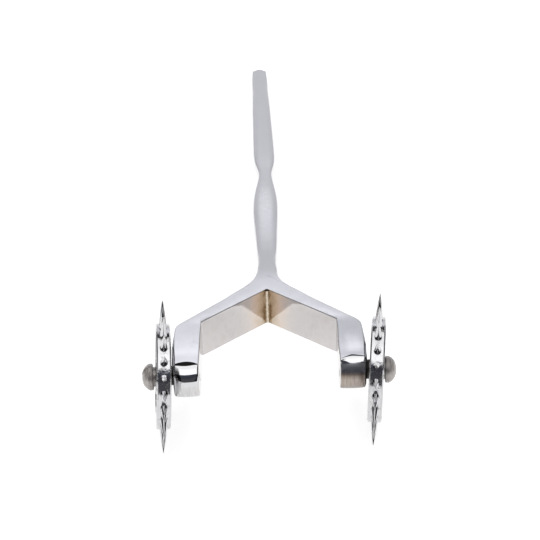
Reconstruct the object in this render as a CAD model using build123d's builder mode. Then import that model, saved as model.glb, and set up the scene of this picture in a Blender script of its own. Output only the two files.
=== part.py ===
from build123d import *
import math
import os

os.makedirs("parts", exist_ok=True)

# Double pinwheel: a flat handle, a wide forked yoke welded up from two bent
# bars, and a free-running wheel with one ring of pins outside each fork tip.
# All lengths are millimetres.  The tool is described in its own directions
# (X across the fork, Y back along the handle, Z square to the fork, origin
# midway between the two axles) and laid down resting on the two wheels and
# the end of the handle.

# wheels
PIN_TIP_R = 14.0          # radius to the pin points
RIM_R = 9.75              # outer radius of the rim
RIM_HALF = 1.30           # half width of the rim
RIM_BEVEL = 0.25
RIM_INNER_R = 7.20        # inside of the rim band
WEB_HALF = 0.75           # half thickness of the thin web
HUB_R = 3.20
HUB_HALF = 1.35           # the hub stands a little proud of the rim
BORE_R = 1.96             # loose on the 3.6 mm shoulder
PIN_COUNT = 22
PIN_R = 0.66              # pin radius where it enters the rim
PIN_SEAT_R = 7.90         # bottom of the pin holes
PIN_MID_R = 0.47          # pin radius half way out, slightly full sided
PIN_POINT_R = 0.05        # blunted point
LEFT_FIRST_PIN = -31.6    # angle of one pin, down from straight ahead
RIGHT_FIRST_PIN = -36.9

# axles
TOE = 4.0                 # each wheel is turned in at the front
PAD_X = 17.85             # ground seat for the screw shoulder, at the axle
SHOULDER_R = 1.80
SHOULDER_LEN = {-1: 3.64, 1: 3.46}
THREAD_R = 1.50
THREAD_LEN = 4.95
HEAD_R = 2.47
HEAD_RIM = 0.70           # straight edge of the head
HEAD_DOME = 1.28          # height of the dome above it
SLOT_W = 0.75
SLOT_DEPTH = 0.95
WHEEL_U = {-1: 1.89, 1: 1.92}    # middle of each wheel, out from its seat
# the loose wheels stand askew on their screws: turned in at the front, and
# lying over to the same side
WHEEL_TOE = {-1: 5.33, 1: 7.86}
WHEEL_LEAN = {-1: 4.70, 1: 0.85}
LEFT_SLOT = 12.0          # turn of the slot away from square to the fork
RIGHT_SLOT = -20.0

# fork arms, plan of one side
ARM_IN_X = 13.20          # inner face of the leg
ARM_OUT_X = 17.90         # outer corner
IN_CORNER_Y = 11.90
OUT_CORNER_Y = 11.10
IN_APEX_Y = 24.00         # inner corner of the fork
OUT_APEX_Y = 29.80        # outer corner of the fork
BULGE_X = 18.11           # widest point just behind the seat
BULGE_Y = 3.70
TIP_X = 17.58             # outer edge at the front of the rounded end
END_R = 3.82              # nominal reach of the rounded end in front of the axle
# hand-ground ends, side view: (where the flat top stops, radius of the upper
# curve, angle above straight ahead where the lower, larger curve takes over)
END_SHAPE = {-1: (-1.60, 3.00, 0.0), 1: (-0.45, 2.25, 41.0)}
ARM_HALF = 4.05           # half height of the bar at the corner of the fork
ARM_EDGE = 0.25           # broken edges
CORNER_R = 1.2            # rounding of the outer bend

# weld in the inner corner and neck at the handle
BEAD_LEG = 0.36
BEAD_OUT = 0.52
BEAD_HALF = 3.72
# ground neck weld, stations along Y: (y, half width, half height)
NECK = [
    (22.2, 7.45, 3.84),
    (23.6, 6.15, 3.84),
    (25.0, 5.00, 3.84),
    (26.6, 3.70, 3.83),
    (28.0, 2.95, 3.78),
    (29.4, 2.52, 3.68),
    (31.0, 2.26, 3.55),
    (33.0, 2.10, 3.40),
    (35.5, 2.00, 3.22),
]

# handle, stations along Y: (y, half width, half thickness)
HANDLE = [
    (26.5, 1.95, 3.36),
    (36.0, 1.92, 3.08),
    (41.0, 2.10, 2.84),
    (47.0, 2.36, 2.56),
    (54.0, 2.62, 2.27),
    (61.5, 2.93, 2.04),
    (68.5, 3.08, 1.92),
    (74.0, 2.97, 1.85),
    (79.0, 2.60, 1.76),
    (84.0, 2.06, 1.66),
    (88.5, 1.72, 1.62),
    (92.5, 2.08, 1.68),
    (96.5, 2.64, 1.78),
    (101.0, 2.90, 1.86),
    (108.0, 2.94, 1.90),
    (122.0, 2.86, 1.90),
    (138.0, 2.77, 1.88),
    (155.0, 2.62, 1.84),
    (168.0, 2.42, 1.80),
    (179.0, 2.15, 1.78),
]
BOW = [
    (22.2, 0.0), (26.5, 0.12), (36.0, 0.27), (47.0, 0.36), (61.5, 0.38), (68.5, 0.43),
    (74.0, 0.51), (79.0, 0.57), (84.0, 0.65), (88.5, 0.71), (92.5, 0.70),
    (96.5, 0.66), (101.0, 0.62), (108.0, 0.57), (122.0, 0.48), (138.0, 0.37),
    (155.0, 0.28), (168.0, 0.21), (179.0, 0.18),
]
HANDLE_END = 178.2
FLAT_Z = 1.84             # half thickness over the flats of the tail
FACET_W = 0.64            # share of the width taken by the flat top
FACET_H = 0.42            # share of the thickness taken by the straight side

# resting pose: pin points and the handle's end on one flat surface
PITCH = math.degrees(math.asin((PIN_TIP_R - 1.78) / HANDLE_END))
CP, SP = math.cos(math.radians(PITCH)), math.sin(math.radians(PITCH))
LIFT = PIN_TIP_R
BACK = -82.3


def pt(x, y, z):
    return Vector(x, BACK + y * CP + z * SP, LIFT - y * SP + z * CP)


def dr(x, y, z):
    return Vector(x, y * CP + z * SP, -y * SP + z * CP)


def plan(z=0.0):
    return Plane(origin=pt(0, 0, z), x_dir=dr(1, 0, 0), z_dir=dr(0, 0, 1))


def side_plane(x=0.0):
    return Plane(origin=pt(x, 0, 0), x_dir=dr(0, 1, 0), z_dir=dr(1, 0, 0))


def bow(y):
    # the handle is very slightly bent sideways, most at the waist
    if y <= BOW[0][0]:
        return 0.0
    for (y0, b0), (y1, b1) in zip(BOW, BOW[1:]):
        if y <= y1:
            return b0 + (b1 - b0) * (y - y0) / (y1 - y0)
    return BOW[-1][1]


def station(y):
    return Plane(origin=pt(bow(y), y, 0), x_dir=dr(1, 0, 0), z_dir=dr(0, -1, 0))


CT, ST = math.cos(math.radians(TOE)), math.sin(math.radians(TOE))


def out_dir(s):
    # along the axle, away from the fork
    return (s * CT, -ST, 0.0)


def fore_dir(s):
    # straight ahead in the plane of the wheel
    return (-s * ST, -CT, 0.0)


def axle_pt(s, u):
    a = out_dir(s)
    return (s * PAD_X + u * a[0], u * a[1], u * a[2])


def axle_plane(s, u=0.0):
    # local x out along the axle, local y square to the fork
    return Plane(
        origin=pt(*axle_pt(s, u)), x_dir=dr(*out_dir(s)), z_dir=dr(-ST * 1.0, -s * CT, 0)
    )


def axle_axis(s):
    return Axis(origin=pt(*axle_pt(s, 0)), direction=dr(*out_dir(s)))


def across_axle(s, u):
    # plane square to the axle, local z pointing out
    return Plane(
        origin=pt(*axle_pt(s, u)), x_dir=dr(*fore_dir(s)), z_dir=dr(*out_dir(s))
    )


def wheel_fore(s):
    t = math.radians(WHEEL_TOE[s])
    return (-s * math.sin(t), -math.cos(t), 0.0)


def wheel_out(s):
    # along the wheel's own axis, away from the fork
    t, l = math.radians(WHEEL_TOE[s]), math.radians(WHEEL_LEAN[s])
    return (s * math.cos(l) * math.cos(t), -math.cos(l) * math.sin(t), -s * math.sin(l))


def wheel_up(s):
    t, l = math.radians(WHEEL_TOE[s]), math.radians(WHEEL_LEAN[s])
    return (math.sin(l) * math.cos(t), -s * math.sin(l) * math.sin(t), math.cos(l))


def wheel_axis(s):
    return Axis(origin=pt(*axle_pt(s, WHEEL_U[s])), direction=dr(*wheel_out(s)))


def wheel_plane(s):
    # through the middle of the wheel, local x out along its own axis
    return Plane(
        origin=pt(*axle_pt(s, WHEEL_U[s])), x_dir=dr(*wheel_out(s)),
        z_dir=dr(*(s * c for c in wheel_fore(s))),
    )


FIRST_PIN = {-1: LEFT_FIRST_PIN, 1: RIGHT_FIRST_PIN}


# ---------------------------------------------------------------- handle
with BuildPart() as handle:
    for y, hw, ht in HANDLE:
        with BuildSketch(station(y)) as section:
            fw, fh = hw * FACET_W, ht * FACET_H
            with BuildLine():
                Polyline(
                    (-hw, -fh), (-fw, -ht), (fw, -ht), (hw, -fh),
                    (hw, fh), (fw, ht), (-fw, ht), (-hw, fh), close=True,
                )
            make_face()
    loft()
    # front end fitted over the outer corner of the fork
    slope = (OUT_APEX_Y - OUT_CORNER_Y) / ARM_OUT_X
    with BuildSketch(plan(-8)) as mouth:
        with BuildLine():
            Polyline(
                (0, OUT_APEX_Y), (-6, OUT_APEX_Y - 6 * slope), (-6, 10), (6, 10),
                (6, OUT_APEX_Y - 6 * slope), close=True,
            )
        make_face()
    extrude(amount=16, mode=Mode.SUBTRACT)
    # rounded far end
    with BuildSketch(plan(-8)) as tail:
        with BuildLine():
            Line((-12, 174.0), (-12, 190))
            Line((-12, 190), (12, 190))
            Line((12, 190), (12, 174.0))
            Line((12, 174.0), (2.80, 174.0))
            Line((2.80, 174.0), (2.38, 176.2))
            ThreePointArc((2.38, 176.2), (0.20, HANDLE_END), (-1.98, 176.2))
            Line((-1.98, 176.2), (-2.40, 174.0))
            Line((-2.40, 174.0), (-12, 174.0))
        make_face()
    extrude(amount=16, mode=Mode.SUBTRACT)
    # ground flats on the top and underside of the tail
    for z0 in (FLAT_Z, -FLAT_Z - 2):
        with BuildSketch(plan(z0)):
            with Locations((0, 128)):
                Rectangle(8, 56)
        extrude(amount=2, mode=Mode.SUBTRACT)
handle.part.label = "handle"
export_step(handle.part, "parts/handle.step")


# ---------------------------------------------------------------- fork arms
def arm_outline(s):
    return [
        (0, IN_APEX_Y),
        (s * ARM_IN_X, IN_CORNER_Y),
        (s * ARM_IN_X, -8),
        (s * (TIP_X - (8 - END_R) * math.tan(math.radians(TOE))), -8),
        (s * TIP_X, -END_R),
        (s * BULGE_X, BULGE_Y),
        (s * ARM_OUT_X, OUT_CORNER_Y),
        (0, OUT_APEX_Y),
    ]


def arm_side(s):
    # side view: slightly deeper toward the corner of the fork
    y0, r1, split = END_SHAPE[s]
    h = ARM_HALF - (31.0 - y0) * (ARM_HALF - END_R) / 31.0
    r2 = (2 * h - r1 * (1 - math.sin(math.radians(split)))) / (
        1 + math.sin(math.radians(split))
    )
    c1 = (y0, h - r1)

    def on(c, r, a):
        return (c[0] - r * math.cos(math.radians(a)), c[1] + r * math.sin(math.radians(a)))

    join = on(c1, r1, split)
    c2 = (
        join[0] + r2 * math.cos(math.radians(split)),
        join[1] - r2 * math.sin(math.radians(split)),
    )
    foot = (c2[0], -h)
    Line((31.0, -ARM_HALF), (31.0, ARM_HALF))
    Line((31.0, ARM_HALF), (y0, h))
    ThreePointArc((y0, h), on(c1, r1, (90 + split) / 2), join)
    ThreePointArc(join, on(c2, r2, (split - 90) / 2), foot)
    Line(foot, (31.0, -ARM_HALF))


def local(p):
    # back to the tool's own directions
    d = p - pt(0, 0, 0)
    return d.dot(dr(1, 0, 0)), d.dot(dr(0, 1, 0)), d.dot(dr(0, 0, 1))


def rim_edges(part):
    # every long edge of the bar and both arcs of its rounded end
    found = []
    for e in part.edges():
        x, y, z = local(e @ 0.5)
        along = e % 0.5
        if abs(x) < 0.05 or abs(along.X) > 0.9:
            continue
        if abs(z) > 3.2 or y < -1.6:
            found.append(e)
    return found


with BuildPart() as left_arm:
    with BuildSketch(plan(-6)) as plan_l:
        with BuildLine():
            Polyline(*arm_outline(-1), close=True)
        make_face()
        fillet(plan_l.vertices().sort_by_distance((-ARM_OUT_X, OUT_CORNER_Y))[0], CORNER_R)
    extrude(amount=12)
    with BuildSketch(side_plane(-25)) as side_l:
        with BuildLine():
            arm_side(-1)
        make_face()
    extrude(amount=50, mode=Mode.INTERSECT)
    chamfer(rim_edges(left_arm), length=ARM_EDGE)
    # tapped hole for the axle screw
    with BuildSketch(across_axle(-1, -8)) as tap_l:
        Circle(THREAD_R)
    extrude(amount=16, mode=Mode.SUBTRACT)
left_arm.part.label = "left_arm"
export_step(left_arm.part, "parts/left_arm.step")

with BuildPart() as right_arm:
    with BuildSketch(plan(-6)) as plan_r:
        with BuildLine():
            Polyline(*arm_outline(1), close=True)
        make_face()
        fillet(plan_r.vertices().sort_by_distance((ARM_OUT_X, OUT_CORNER_Y))[0], CORNER_R)
    extrude(amount=12)
    with BuildSketch(side_plane(-25)) as side_r:
        with BuildLine():
            arm_side(1)
        make_face()
    extrude(amount=50, mode=Mode.INTERSECT)
    chamfer(rim_edges(right_arm), length=ARM_EDGE)
    with BuildSketch(across_axle(1, -8)) as tap_r:
        Circle(THREAD_R)
    extrude(amount=16, mode=Mode.SUBTRACT)
right_arm.part.label = "right_arm"
export_step(right_arm.part, "parts/right_arm.step")


# ---------------------------------------------------------------- welds
in_slope = (IN_APEX_Y - IN_CORNER_Y) / ARM_IN_X
with BuildPart() as inner_weld:
    with BuildSketch(plan(-BEAD_HALF)) as bead:
        with BuildLine():
            Line((-BEAD_LEG, IN_APEX_Y - BEAD_LEG * in_slope), (0, IN_APEX_Y))
            Line((0, IN_APEX_Y), (BEAD_LEG, IN_APEX_Y - BEAD_LEG * in_slope))
            ThreePointArc(
                (BEAD_LEG, IN_APEX_Y - BEAD_LEG * in_slope),
                (0, IN_APEX_Y - BEAD_OUT),
                (-BEAD_LEG, IN_APEX_Y - BEAD_LEG * in_slope),
            )
        make_face()
    extrude(amount=2 * BEAD_HALF)
inner_weld.part.label = "inner_weld"
export_step(inner_weld.part, "parts/inner_weld.step")

with BuildPart() as neck_weld:
    # ground fillet that spreads the handle out over the corner of the fork
    for y, hw, ht in NECK:
        with BuildSketch(station(y)) as ring:
            fw, fh = hw - 0.55, ht - 0.75
            with BuildLine():
                Polyline(
                    (-hw, -fh), (-fw, -ht), (fw, -ht), (hw, -fh),
                    (hw, fh), (fw, ht), (-fw, ht), (-hw, fh), close=True,
                )
            make_face()
    loft()
    with BuildSketch(plan(-8)) as clear_fork:
        with BuildLine():
            Polyline(
                (0, OUT_APEX_Y), (-12, OUT_APEX_Y - 12 * slope), (-12, 10), (12, 10),
                (12, OUT_APEX_Y - 12 * slope), close=True,
            )
        make_face()
    extrude(amount=16, mode=Mode.SUBTRACT)
    add(handle.part, mode=Mode.SUBTRACT)
neck_weld.part.label = "neck_weld"
export_step(neck_weld.part, "parts/neck_weld.step")


# ---------------------------------------------------------------- wheels
def disc_profile():
    return [
        (-HUB_HALF, BORE_R), (-HUB_HALF, HUB_R), (-WEB_HALF, HUB_R + 0.25),
        (-WEB_HALF, RIM_INNER_R - 0.2), (-RIM_HALF, RIM_INNER_R),
        (-RIM_HALF, RIM_R - RIM_BEVEL), (-RIM_HALF + RIM_BEVEL, RIM_R),
        (RIM_HALF - RIM_BEVEL, RIM_R), (RIM_HALF, RIM_R - RIM_BEVEL),
        (RIM_HALF, RIM_INNER_R), (WEB_HALF, RIM_INNER_R - 0.2),
        (WEB_HALF, HUB_R + 0.25), (HUB_HALF, HUB_R), (HUB_HALF, BORE_R),
    ]


def pin_plane(s, k):
    # local x along the pin, local y out along the axle
    a = math.radians(FIRST_PIN[s] + k * 360.0 / PIN_COUNT)
    f = wheel_fore(s)
    w = wheel_up(s)
    d = tuple(math.cos(a) * f[i] - math.sin(a) * w[i] for i in range(3))
    o = wheel_out(s)
    n = (
        d[1] * o[2] - d[2] * o[1],
        d[2] * o[0] - d[0] * o[2],
        d[0] * o[1] - d[1] * o[0],
    )
    return Plane(origin=pt(*axle_pt(s, WHEEL_U[s])), x_dir=dr(*d), z_dir=dr(*n)), dr(*d)


def pin_hole_plane(s, k):
    a = math.radians(FIRST_PIN[s] + k * 360.0 / PIN_COUNT)
    f = wheel_fore(s)
    w = wheel_up(s)
    d = tuple(math.cos(a) * f[i] - math.sin(a) * w[i] for i in range(3))
    c = axle_pt(s, WHEEL_U[s])
    o = tuple(c[i] + PIN_SEAT_R * d[i] for i in range(3))
    return Plane(origin=pt(*o), x_dir=dr(*wheel_out(s)), z_dir=dr(*d))


def pin_outline():
    return [
        (PIN_SEAT_R, 0), (PIN_SEAT_R, PIN_R), (RIM_R + 0.15, PIN_R),
        (RIM_R + 0.55 * (PIN_TIP_R - RIM_R), PIN_MID_R * 0.86),
        (PIN_TIP_R - 0.04, PIN_POINT_R), (PIN_TIP_R, 0),
    ]


with BuildPart() as left_wheel_disc:
    with BuildSketch(wheel_plane(-1)) as disc_l:
        with BuildLine():
            Polyline(*disc_profile(), close=True)
        make_face()
    revolve(axis=wheel_axis(-1))
    for k in range(PIN_COUNT):
        with BuildSketch(pin_hole_plane(-1, k)):
            Circle(PIN_R)
        extrude(amount=3.0, mode=Mode.SUBTRACT)
left_wheel_disc.part.label = "left_wheel_disc"
export_step(left_wheel_disc.part, "parts/left_wheel_disc.step")

with BuildPart() as left_pins:
    for k in range(PIN_COUNT):
        frame, along = pin_plane(-1, k)
        with BuildSketch(frame):
            with BuildLine():
                Polyline(*pin_outline(), close=True)
            make_face()
        revolve(axis=Axis(origin=frame.origin, direction=along))
left_pins.part.label = "left_pins"
export_step(left_pins.part, "parts/left_pins.step")

with BuildPart() as right_wheel_disc:
    with BuildSketch(wheel_plane(1)) as disc_r:
        with BuildLine():
            Polyline(*disc_profile(), close=True)
        make_face()
    revolve(axis=wheel_axis(1))
    for k in range(PIN_COUNT):
        with BuildSketch(pin_hole_plane(1, k)):
            Circle(PIN_R)
        extrude(amount=3.0, mode=Mode.SUBTRACT)
right_wheel_disc.part.label = "right_wheel_disc"
export_step(right_wheel_disc.part, "parts/right_wheel_disc.step")

with BuildPart() as right_pins:
    for k in range(PIN_COUNT):
        frame, along = pin_plane(1, k)
        with BuildSketch(frame):
            with BuildLine():
                Polyline(*pin_outline(), close=True)
            make_face()
        revolve(axis=Axis(origin=frame.origin, direction=along))
right_pins.part.label = "right_pins"
export_step(right_pins.part, "parts/right_pins.step")


# ---------------------------------------------------------------- axle screws
def slot_frame(s, turn):
    # plane at the top of the head, local x along the slot
    o = out_dir(s)
    f = fore_dir(s)
    t = math.radians(turn)
    d = (math.sin(t) * f[0], math.sin(t) * f[1], math.cos(t))
    top = SHOULDER_LEN[s] + HEAD_RIM + HEAD_DOME - SLOT_DEPTH
    return Plane(origin=pt(*axle_pt(s, top)), x_dir=dr(*d), z_dir=dr(*o))


with BuildPart() as left_screw:
    with BuildSketch(axle_plane(-1)) as screw_l:
        with BuildLine():
            Polyline(
                (SHOULDER_LEN[-1] + HEAD_RIM + HEAD_DOME, 0), (-THREAD_LEN, 0),
                (-THREAD_LEN, THREAD_R), (0, THREAD_R),
                (0, SHOULDER_R), (SHOULDER_LEN[-1], SHOULDER_R),
                (SHOULDER_LEN[-1], HEAD_R - 0.12), (SHOULDER_LEN[-1] + 0.12, HEAD_R),
                (SHOULDER_LEN[-1] + HEAD_RIM, HEAD_R),
            )
            ThreePointArc(
                (SHOULDER_LEN[-1] + HEAD_RIM, HEAD_R),
                (SHOULDER_LEN[-1] + HEAD_RIM + 0.80 * HEAD_DOME, HEAD_R * 0.60),
                (SHOULDER_LEN[-1] + HEAD_RIM + HEAD_DOME, 0),
            )
        make_face()
    revolve(axis=axle_axis(-1))
    with BuildSketch(slot_frame(-1, LEFT_SLOT)):
        Rectangle(8, SLOT_W)
    extrude(amount=3, mode=Mode.SUBTRACT)
left_screw.part.label = "left_screw"
export_step(left_screw.part, "parts/left_screw.step")

with BuildPart() as right_screw:
    with BuildSketch(axle_plane(1)) as screw_r:
        with BuildLine():
            Polyline(
                (SHOULDER_LEN[1] + HEAD_RIM + HEAD_DOME, 0), (-THREAD_LEN, 0),
                (-THREAD_LEN, THREAD_R), (0, THREAD_R),
                (0, SHOULDER_R), (SHOULDER_LEN[1], SHOULDER_R),
                (SHOULDER_LEN[1], HEAD_R - 0.12), (SHOULDER_LEN[1] + 0.12, HEAD_R),
                (SHOULDER_LEN[1] + HEAD_RIM, HEAD_R),
            )
            ThreePointArc(
                (SHOULDER_LEN[1] + HEAD_RIM, HEAD_R),
                (SHOULDER_LEN[1] + HEAD_RIM + 0.80 * HEAD_DOME, HEAD_R * 0.60),
                (SHOULDER_LEN[1] + HEAD_RIM + HEAD_DOME, 0),
            )
        make_face()
    revolve(axis=axle_axis(1))
    with BuildSketch(slot_frame(1, RIGHT_SLOT)):
        Rectangle(8, SLOT_W)
    extrude(amount=3, mode=Mode.SUBTRACT)
right_screw.part.label = "right_screw"
export_step(right_screw.part, "parts/right_screw.step")
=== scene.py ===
import bpy
import bmesh
import math
import numpy as np
from mathutils import Matrix, Vector, noise

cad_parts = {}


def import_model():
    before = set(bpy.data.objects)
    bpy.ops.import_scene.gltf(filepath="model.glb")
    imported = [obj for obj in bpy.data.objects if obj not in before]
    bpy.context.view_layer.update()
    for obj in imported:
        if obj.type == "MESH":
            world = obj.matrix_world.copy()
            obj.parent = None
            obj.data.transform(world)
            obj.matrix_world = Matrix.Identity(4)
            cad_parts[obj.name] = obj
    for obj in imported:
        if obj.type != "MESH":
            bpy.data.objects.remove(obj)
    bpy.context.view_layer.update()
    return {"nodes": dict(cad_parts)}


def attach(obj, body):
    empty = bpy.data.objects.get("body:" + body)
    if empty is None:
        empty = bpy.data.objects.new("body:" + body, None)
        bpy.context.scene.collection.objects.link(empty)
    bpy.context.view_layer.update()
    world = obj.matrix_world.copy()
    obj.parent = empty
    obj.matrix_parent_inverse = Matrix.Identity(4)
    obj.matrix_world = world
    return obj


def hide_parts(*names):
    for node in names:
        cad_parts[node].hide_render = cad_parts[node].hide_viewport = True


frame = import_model()

# ------------------------------------------------------------------ the tool's own directions
# X across the fork, Y back along the handle, Z square to the fork, in millimetres,
# origin midway between the axles.  TOOL takes that to the row frame in metres.
TIP_R, HANDLE_END = 14.0, 178.2
BETA = math.asin((TIP_R - 1.78) / HANDLE_END)
BACK, LIFT = -82.3, 14.0
ROT = Matrix.Rotation(-BETA, 4, "X")
TOOL = Matrix.Scale(0.001, 4) @ Matrix.Translation((0, BACK, LIFT)) @ ROT
TOE = math.radians(4.0)
PAD_X = 17.85


def link(name, me, body, mats, replaces=()):
    o = bpy.data.objects.new(name, me)
    bpy.context.scene.collection.objects.link(o)
    for m in mats:
        me.materials.append(m)
    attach(o, body)
    if replaces:
        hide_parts(*replaces)
    return o


# ------------------------------------------------------------------ node helpers
def new_mat(name):
    m = bpy.data.materials.new(name)
    m.use_nodes = True
    nt = m.node_tree
    nt.nodes.clear()
    out = nt.nodes.new("ShaderNodeOutputMaterial")
    bs = nt.nodes.new("ShaderNodeBsdfPrincipled")
    nt.links.new(bs.outputs[0], out.inputs[0])
    return m, nt, bs


def tool_coords(nt, scale=(1, 1, 1), shift=(0, 0, 0)):
    """object coordinates turned into the tool's own millimetres, then scaled"""
    tc = nt.nodes.new("ShaderNodeTexCoord")
    a = nt.nodes.new("ShaderNodeMapping")
    a.inputs["Rotation"].default_value = (BETA, 0, 0)
    a.inputs["Scale"].default_value = (1000, 1000, 1000)
    t = Matrix.Rotation(BETA, 3, "X") @ Vector((0, BACK, LIFT))
    a.inputs["Location"].default_value = -t
    nt.links.new(tc.outputs["Object"], a.inputs[0])
    b = nt.nodes.new("ShaderNodeMapping")
    b.inputs["Scale"].default_value = scale
    b.inputs["Location"].default_value = shift
    nt.links.new(a.outputs[0], b.inputs[0])
    return b.outputs[0], a.outputs[0]


def noise_tex(nt, vec, scale, detail=3.0, rough=0.5, distort=0.0):
    n = nt.nodes.new("ShaderNodeTexNoise")
    n.inputs["Scale"].default_value = scale
    n.inputs["Detail"].default_value = detail
    n.inputs["Roughness"].default_value = rough
    n.inputs["Distortion"].default_value = distort
    nt.links.new(vec, n.inputs["Vector"])
    return n.outputs["Fac"]


def ramp(nt, fac, stops, mode="LINEAR"):
    r = nt.nodes.new("ShaderNodeValToRGB")
    r.color_ramp.interpolation = mode
    el = r.color_ramp.elements
    while len(el) > 1:
        el.remove(el[-1])
    el[0].position, c = stops[0]
    el[0].color = c if len(c) == 4 else (*c, 1)
    for p, c in stops[1:]:
        e = el.new(p)
        e.color = c if len(c) == 4 else (*c, 1)
    nt.links.new(fac, r.inputs[0])
    return r.outputs[0]


def maprange(nt, v, a, b, c, d, clamp=True, smooth=False):
    n = nt.nodes.new("ShaderNodeMapRange")
    n.clamp = clamp
    if smooth:
        n.interpolation_type = "SMOOTHSTEP"
    n.inputs["From Min"].default_value = a
    n.inputs["From Max"].default_value = b
    n.inputs["To Min"].default_value = c
    n.inputs["To Max"].default_value = d
    nt.links.new(v, n.inputs["Value"])
    return n.outputs["Result"]


def math_n(nt, op, a, b=None, c=None):
    n = nt.nodes.new("ShaderNodeMath")
    n.operation = op
    for i, v in enumerate((a, b, c)):
        if v is None:
            continue
        if isinstance(v, (int, float)):
            n.inputs[i].default_value = v
        else:
            nt.links.new(v, n.inputs[i])
    return n.outputs[0]


def mix_col(nt, fac, a, b, mode="MIX"):
    n = nt.nodes.new("ShaderNodeMix")
    n.data_type = "RGBA"
    n.blend_type = mode
    if isinstance(fac, (int, float)):
        n.inputs[0].default_value = fac
    else:
        nt.links.new(fac, n.inputs[0])
    for sock, v in ((n.inputs[6], a), (n.inputs[7], b)):
        if isinstance(v, tuple):
            sock.default_value = (*v, 1) if len(v) == 3 else v
        else:
            nt.links.new(v, sock)
    return n.outputs[2]


def bump(nt, height, strength, dist, normal=None):
    b = nt.nodes.new("ShaderNodeBump")
    b.inputs["Strength"].default_value = strength
    b.inputs["Distance"].default_value = dist
    nt.links.new(height, b.inputs["Height"])
    if normal is not None:
        nt.links.new(normal, b.inputs["Normal"])
    return b.outputs["Normal"]


def edge_mask(nt, radius, lo=0.985, hi=0.86):
    """1 along corners and creases of the metal, 0 on its open faces"""
    bev = nt.nodes.new("ShaderNodeBevel")
    bev.samples = 4
    bev.inputs["Radius"].default_value = radius
    geo = nt.nodes.new("ShaderNodeNewGeometry")
    dot = nt.nodes.new("ShaderNodeVectorMath")
    dot.operation = "DOT_PRODUCT"
    nt.links.new(bev.outputs[0], dot.inputs[0])
    nt.links.new(geo.outputs["Normal"], dot.inputs[1])
    return maprange(nt, dot.outputs["Value"], lo, hi, 0.0, 1.0)


def sep(nt, vec):
    s = nt.nodes.new("ShaderNodeSeparateXYZ")
    nt.links.new(vec, s.inputs[0])
    return s.outputs


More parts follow.
